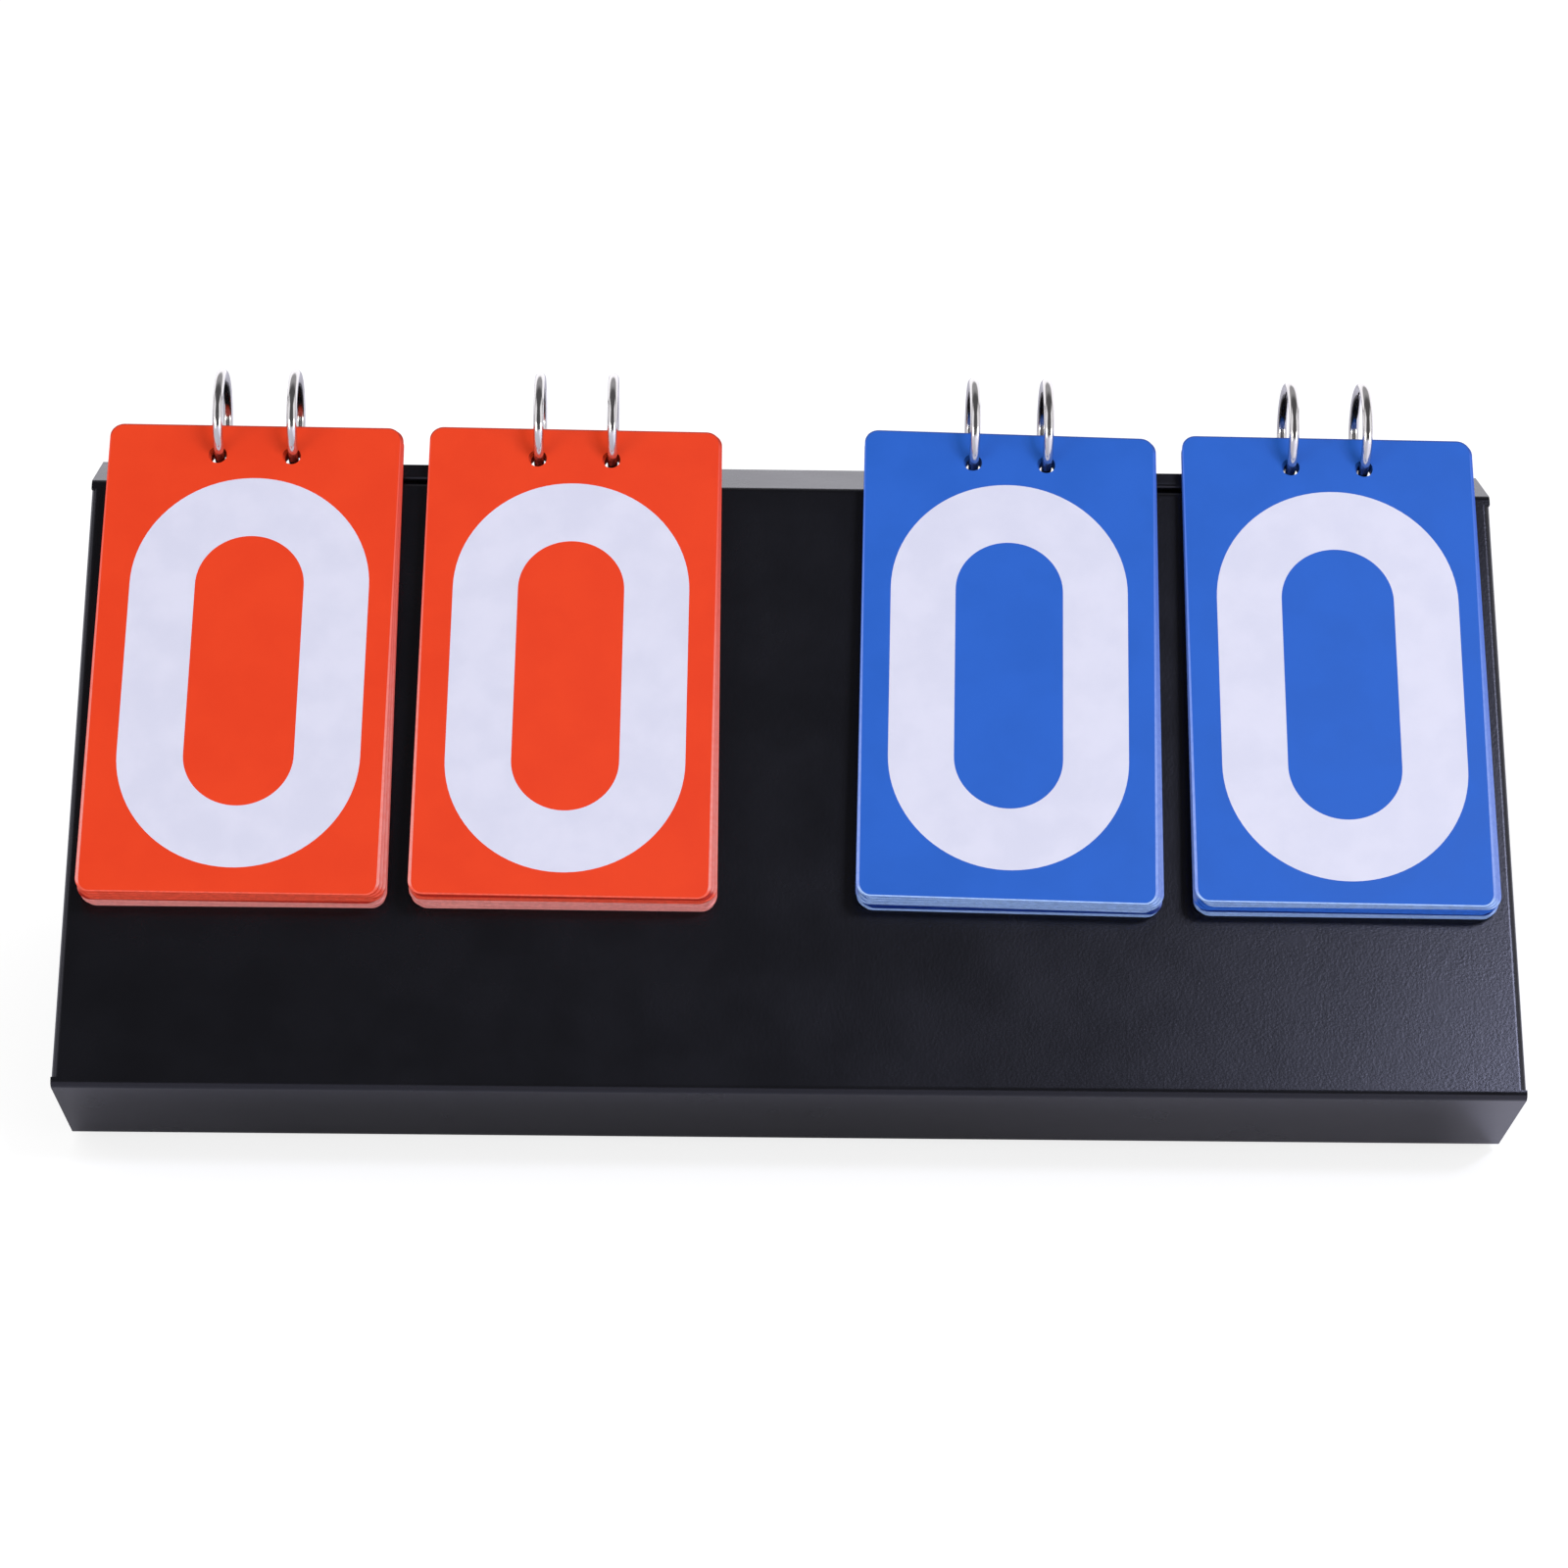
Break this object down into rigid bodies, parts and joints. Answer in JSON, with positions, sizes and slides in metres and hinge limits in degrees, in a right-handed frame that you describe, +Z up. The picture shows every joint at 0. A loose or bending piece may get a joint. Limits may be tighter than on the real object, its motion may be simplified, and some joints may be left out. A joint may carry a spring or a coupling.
{
  "type": "tabletop flip scoreboard",
  "caption": "Tabletop flip scoreboard: bent sheet A-frame stand with red and blue number cards that flip over the ridge on wire rings.",
  "frame": {"origin": "on the table under the middle of the stand, midway along its width and depth", "axes": "+X along the ridge to the right of someone reading the score, +Y from the reader to the rear, +Z up"},
  "size_m": [0.385, 0.2394, 0.1929],
  "materials": {
    "powder_coat": "black powder coat, fine orange peel, semi-matte",
    "rivet_black": "black coated blind rivets, semi-gloss",
    "foot_rubber": "matte black rubber",
    "ring_nickel": "bright nickel plated wire",
    "card_red": "satin red-orange plastic sheet with a white printed number",
    "card_blue": "satin blue plastic sheet with a white printed number"
  },
  "bodies": {
    "stand": {"front_shell": "powder_coat", "rear_shell": "powder_coat", "hanger_strip_red": "powder_coat", "hanger_strip_blue": "powder_coat", "rivets": "rivet_black", "foot_front_left": "foot_rubber", "foot_front_right": "foot_rubber", "foot_rear_left": "foot_rubber", "foot_rear_right": "foot_rubber"},
    "ring_red_tens_left": {"ring_red_tens_left": "ring_nickel"},
    "ring_red_tens_right": {"ring_red_tens_right": "ring_nickel"},
    "card_red_tens_9": {"card_red_tens_9": "card_red"},
    "card_red_tens_8": {"card_red_tens_8": "card_red"},
    "card_red_tens_7": {"card_red_tens_7": "card_red"},
    "card_red_tens_6": {"card_red_tens_6": "card_red"},
    "card_red_tens_5": {"card_red_tens_5": "card_red"},
    "card_red_tens_4": {"card_red_tens_4": "card_red"},
    "card_red_tens_3": {"card_red_tens_3": "card_red"},
    "card_red_tens_2": {"card_red_tens_2": "card_red"},
    "card_red_tens_1": {"card_red_tens_1": "card_red"},
    "card_red_tens_0": {"card_red_tens_0": "card_red"},
    "ring_red_units_left": {"ring_red_units_left": "ring_nickel"},
    "ring_red_units_right": {"ring_red_units_right": "ring_nickel"},
    "card_red_units_9": {"card_red_units_9": "card_red"},
    "card_red_units_8": {"card_red_units_8": "card_red"},
    "card_red_units_7": {"card_red_units_7": "card_red"},
    "card_red_units_6": {"card_red_units_6": "card_red"},
    "card_red_units_5": {"card_red_units_5": "card_red"},
    "card_red_units_4": {"card_red_units_4": "card_red"},
    "card_red_units_3": {"card_red_units_3": "card_red"},
    "card_red_units_2": {"card_red_units_2": "card_red"},
    "card_red_units_1": {"card_red_units_1": "card_red"},
    "card_red_units_0": {"card_red_units_0": "card_red"},
    "ring_blue_tens_left": {"ring_blue_tens_left": "ring_nickel"},
    "ring_blue_tens_right": {"ring_blue_tens_right": "ring_nickel"},
    "card_blue_tens_9": {"card_blue_tens_9": "card_blue"},
    "card_blue_tens_8": {"card_blue_tens_8": "card_blue"},
    "card_blue_tens_7": {"card_blue_tens_7": "card_blue"},
    "card_blue_tens_6": {"card_blue_tens_6": "card_blue"},
    "card_blue_tens_5": {"card_blue_tens_5": "card_blue"},
    "card_blue_tens_4": {"card_blue_tens_4": "card_blue"},
    "card_blue_tens_3": {"card_blue_tens_3": "card_blue"},
    "card_blue_tens_2": {"card_blue_tens_2": "card_blue"},
    "card_blue_tens_1": {"card_blue_tens_1": "card_blue"},
    "card_blue_tens_0": {"card_blue_tens_0": "card_blue"},
    "ring_blue_units_left": {"ring_blue_units_left": "ring_nickel"},
    "ring_blue_units_right": {"ring_blue_units_right": "ring_nickel"},
    "card_blue_units_9": {"card_blue_units_9": "card_blue"},
    "card_blue_units_8": {"card_blue_units_8": "card_blue"},
    "card_blue_units_7": {"card_blue_units_7": "card_blue"},
    "card_blue_units_6": {"card_blue_units_6": "card_blue"},
    "card_blue_units_5": {"card_blue_units_5": "card_blue"},
    "card_blue_units_4": {"card_blue_units_4": "card_blue"},
    "card_blue_units_3": {"card_blue_units_3": "card_blue"},
    "card_blue_units_2": {"card_blue_units_2": "card_blue"},
    "card_blue_units_1": {"card_blue_units_1": "card_blue"},
    "card_blue_units_0": {"card_blue_units_0": "card_blue"}
  },
  "joints": [
    {"name": "ring_red_tens_left_slide_round", "type": "hinge", "parent": "stand", "child": "ring_red_tens_left", "pos_m": [-0.1575, -0.00062, 0.17905], "axis": [1, 0, 0], "continuous": true},
    {"name": "ring_red_tens_right_slide_round", "type": "hinge", "parent": "stand", "child": "ring_red_tens_right", "pos_m": [-0.1373, -0.00062, 0.17905], "axis": [1, 0, 0], "continuous": true},
    {"name": "card_red_tens_9_flip", "type": "hinge", "parent": "stand", "child": "card_red_tens_9", "pos_m": [-0.1474, -0.00062, 0.17905], "axis": [-1, 0, 0], "range_deg": [0, 270]},
    {"name": "card_red_tens_8_flip", "type": "hinge", "parent": "card_red_tens_9", "child": "card_red_tens_8", "pos_m": [-0.1474, -0.00062, 0.17905], "axis": [-1, 0, 0], "range_deg": [0, 270]},
    {"name": "card_red_tens_7_flip", "type": "hinge", "parent": "card_red_tens_8", "child": "card_red_tens_7", "pos_m": [-0.1474, -0.00062, 0.17905], "axis": [-1, 0, 0], "range_deg": [0, 270]},
    {"name": "card_red_tens_6_flip", "type": "hinge", "parent": "card_red_tens_7", "child": "card_red_tens_6", "pos_m": [-0.1474, -0.00062, 0.17905], "axis": [-1, 0, 0], "range_deg": [0, 270]},
    {"name": "card_red_tens_5_flip", "type": "hinge", "parent": "card_red_tens_6", "child": "card_red_tens_5", "pos_m": [-0.1474, -0.00062, 0.17905], "axis": [-1, 0, 0], "range_deg": [0, 270]},
    {"name": "card_red_tens_4_flip", "type": "hinge", "parent": "card_red_tens_5", "child": "card_red_tens_4", "pos_m": [-0.1474, -0.00062, 0.17905], "axis": [-1, 0, 0], "range_deg": [0, 270]},
    {"name": "card_red_tens_3_flip", "type": "hinge", "parent": "card_red_tens_4", "child": "card_red_tens_3", "pos_m": [-0.1474, -0.00062, 0.17905], "axis": [-1, 0, 0], "range_deg": [0, 270]},
    {"name": "card_red_tens_2_flip", "type": "hinge", "parent": "card_red_tens_3", "child": "card_red_tens_2", "pos_m": [-0.1474, -0.00062, 0.17905], "axis": [-1, 0, 0], "range_deg": [0, 270]},
    {"name": "card_red_tens_1_flip", "type": "hinge", "parent": "card_red_tens_2", "child": "card_red_tens_1", "pos_m": [-0.1474, -0.00062, 0.17905], "axis": [-1, 0, 0], "range_deg": [0, 270]},
    {"name": "card_red_tens_0_flip", "type": "hinge", "parent": "card_red_tens_1", "child": "card_red_tens_0", "pos_m": [-0.1474, -0.00062, 0.17905], "axis": [-1, 0, 0], "range_deg": [0, 270]},
    {"name": "ring_red_units_left_slide_round", "type": "hinge", "parent": "stand", "child": "ring_red_units_left", "pos_m": [-0.0699, -0.00062, 0.17905], "axis": [1, 0, 0], "continuous": true},
    {"name": "ring_red_units_right_slide_round", "type": "hinge", "parent": "stand", "child": "ring_red_units_right", "pos_m": [-0.0497, -0.00062, 0.17905], "axis": [1, 0, 0], "continuous": true},
    {"name": "card_red_units_9_flip", "type": "hinge", "parent": "stand", "child": "card_red_units_9", "pos_m": [-0.0598, -0.00062, 0.17905], "axis": [-1, 0, 0], "range_deg": [0, 270]},
    {"name": "card_red_units_8_flip", "type": "hinge", "parent": "card_red_units_9", "child": "card_red_units_8", "pos_m": [-0.0598, -0.00062, 0.17905], "axis": [-1, 0, 0], "range_deg": [0, 270]},
    {"name": "card_red_units_7_flip", "type": "hinge", "parent": "card_red_units_8", "child": "card_red_units_7", "pos_m": [-0.0598, -0.00062, 0.17905], "axis": [-1, 0, 0], "range_deg": [0, 270]},
    {"name": "card_red_units_6_flip", "type": "hinge", "parent": "card_red_units_7", "child": "card_red_units_6", "pos_m": [-0.0598, -0.00062, 0.17905], "axis": [-1, 0, 0], "range_deg": [0, 270]},
    {"name": "card_red_units_5_flip", "type": "hinge", "parent": "card_red_units_6", "child": "card_red_units_5", "pos_m": [-0.0598, -0.00062, 0.17905], "axis": [-1, 0, 0], "range_deg": [0, 270]},
    {"name": "card_red_units_4_flip", "type": "hinge", "parent": "card_red_units_5", "child": "card_red_units_4", "pos_m": [-0.0598, -0.00062, 0.17905], "axis": [-1, 0, 0], "range_deg": [0, 270]},
    {"name": "card_red_units_3_flip", "type": "hinge", "parent": "card_red_units_4", "child": "card_red_units_3", "pos_m": [-0.0598, -0.00062, 0.17905], "axis": [-1, 0, 0], "range_deg": [0, 270]},
    {"name": "card_red_units_2_flip", "type": "hinge", "parent": "card_red_units_3", "child": "card_red_units_2", "pos_m": [-0.0598, -0.00062, 0.17905], "axis": [-1, 0, 0], "range_deg": [0, 270]},
    {"name": "card_red_units_1_flip", "type": "hinge", "parent": "card_red_units_2", "child": "card_red_units_1", "pos_m": [-0.0598, -0.00062, 0.17905], "axis": [-1, 0, 0], "range_deg": [0, 270]},
    {"name": "card_red_units_0_flip", "type": "hinge", "parent": "card_red_units_1", "child": "card_red_units_0", "pos_m": [-0.0598, -0.00062, 0.17905], "axis": [-1, 0, 0], "range_deg": [0, 270]},
    {"name": "ring_blue_tens_left_slide_round", "type": "hinge", "parent": "stand", "child": "ring_blue_tens_left", "pos_m": [0.0497, -0.00062, 0.17905], "axis": [1, 0, 0], "continuous": true},
    {"name": "ring_blue_tens_right_slide_round", "type": "hinge", "parent": "stand", "child": "ring_blue_tens_right", "pos_m": [0.0699, -0.00062, 0.17905], "axis": [1, 0, 0], "continuous": true},
    {"name": "card_blue_tens_9_flip", "type": "hinge", "parent": "stand", "child": "card_blue_tens_9", "pos_m": [0.0598, -0.00062, 0.17905], "axis": [-1, 0, 0], "range_deg": [0, 270]},
    {"name": "card_blue_tens_8_flip", "type": "hinge", "parent": "card_blue_tens_9", "child": "card_blue_tens_8", "pos_m": [0.0598, -0.00062, 0.17905], "axis": [-1, 0, 0], "range_deg": [0, 270]},
    {"name": "card_blue_tens_7_flip", "type": "hinge", "parent": "card_blue_tens_8", "child": "card_blue_tens_7", "pos_m": [0.0598, -0.00062, 0.17905], "axis": [-1, 0, 0], "range_deg": [0, 270]},
    {"name": "card_blue_tens_6_flip", "type": "hinge", "parent": "card_blue_tens_7", "child": "card_blue_tens_6", "pos_m": [0.0598, -0.00062, 0.17905], "axis": [-1, 0, 0], "range_deg": [0, 270]},
    {"name": "card_blue_tens_5_flip", "type": "hinge", "parent": "card_blue_tens_6", "child": "card_blue_tens_5", "pos_m": [0.0598, -0.00062, 0.17905], "axis": [-1, 0, 0], "range_deg": [0, 270]},
    {"name": "card_blue_tens_4_flip", "type": "hinge", "parent": "card_blue_tens_5", "child": "card_blue_tens_4", "pos_m": [0.0598, -0.00062, 0.17905], "axis": [-1, 0, 0], "range_deg": [0, 270]},
    {"name": "card_blue_tens_3_flip", "type": "hinge", "parent": "card_blue_tens_4", "child": "card_blue_tens_3", "pos_m": [0.0598, -0.00062, 0.17905], "axis": [-1, 0, 0], "range_deg": [0, 270]},
    {"name": "card_blue_tens_2_flip", "type": "hinge", "parent": "card_blue_tens_3", "child": "card_blue_tens_2", "pos_m": [0.0598, -0.00062, 0.17905], "axis": [-1, 0, 0], "range_deg": [0, 270]},
    {"name": "card_blue_tens_1_flip", "type": "hinge", "parent": "card_blue_tens_2", "child": "card_blue_tens_1", "pos_m": [0.0598, -0.00062, 0.17905], "axis": [-1, 0, 0], "range_deg": [0, 270]},
    {"name": "card_blue_tens_0_flip", "type": "hinge", "parent": "card_blue_tens_1", "child": "card_blue_tens_0", "pos_m": [0.0598, -0.00062, 0.17905], "axis": [-1, 0, 0], "range_deg": [0, 270]},
    {"name": "ring_blue_units_left_slide_round", "type": "hinge", "parent": "stand", "child": "ring_blue_units_left", "pos_m": [0.1373, -0.00062, 0.17905], "axis": [1, 0, 0], "continuous": true},
    {"name": "ring_blue_units_right_slide_round", "type": "hinge", "parent": "stand", "child": "ring_blue_units_right", "pos_m": [0.1575, -0.00062, 0.17905], "axis": [1, 0, 0], "continuous": true},
    {"name": "card_blue_units_9_flip", "type": "hinge", "parent": "stand", "child": "card_blue_units_9", "pos_m": [0.1474, -0.00062, 0.17905], "axis": [-1, 0, 0], "range_deg": [0, 270]},
    {"name": "card_blue_units_8_flip", "type": "hinge", "parent": "card_blue_units_9", "child": "card_blue_units_8", "pos_m": [0.1474, -0.00062, 0.17905], "axis": [-1, 0, 0], "range_deg": [0, 270]},
    {"name": "card_blue_units_7_flip", "type": "hinge", "parent": "card_blue_units_8", "child": "card_blue_units_7", "pos_m": [0.1474, -0.00062, 0.17905], "axis": [-1, 0, 0], "range_deg": [0, 270]},
    {"name": "card_blue_units_6_flip", "type": "hinge", "parent": "card_blue_units_7", "child": "card_blue_units_6", "pos_m": [0.1474, -0.00062, 0.17905], "axis": [-1, 0, 0], "range_deg": [0, 270]},
    {"name": "card_blue_units_5_flip", "type": "hinge", "parent": "card_blue_units_6", "child": "card_blue_units_5", "pos_m": [0.1474, -0.00062, 0.17905], "axis": [-1, 0, 0], "range_deg": [0, 270]},
    {"name": "card_blue_units_4_flip", "type": "hinge", "parent": "card_blue_units_5", "child": "card_blue_units_4", "pos_m": [0.1474, -0.00062, 0.17905], "axis": [-1, 0, 0], "range_deg": [0, 270]},
    {"name": "card_blue_units_3_flip", "type": "hinge", "parent": "card_blue_units_4", "child": "card_blue_units_3", "pos_m": [0.1474, -0.00062, 0.17905], "axis": [-1, 0, 0], "range_deg": [0, 270]},
    {"name": "card_blue_units_2_flip", "type": "hinge", "parent": "card_blue_units_3", "child": "card_blue_units_2", "pos_m": [0.1474, -0.00062, 0.17905], "axis": [-1, 0, 0], "range_deg": [0, 270]},
    {"name": "card_blue_units_1_flip", "type": "hinge", "parent": "card_blue_units_2", "child": "card_blue_units_1", "pos_m": [0.1474, -0.00062, 0.17905], "axis": [-1, 0, 0], "range_deg": [0, 270]},
    {"name": "card_blue_units_0_flip", "type": "hinge", "parent": "card_blue_units_1", "child": "card_blue_units_0", "pos_m": [0.1474, -0.00062, 0.17905], "axis": [-1, 0, 0], "range_deg": [0, 270]}
  ]
}
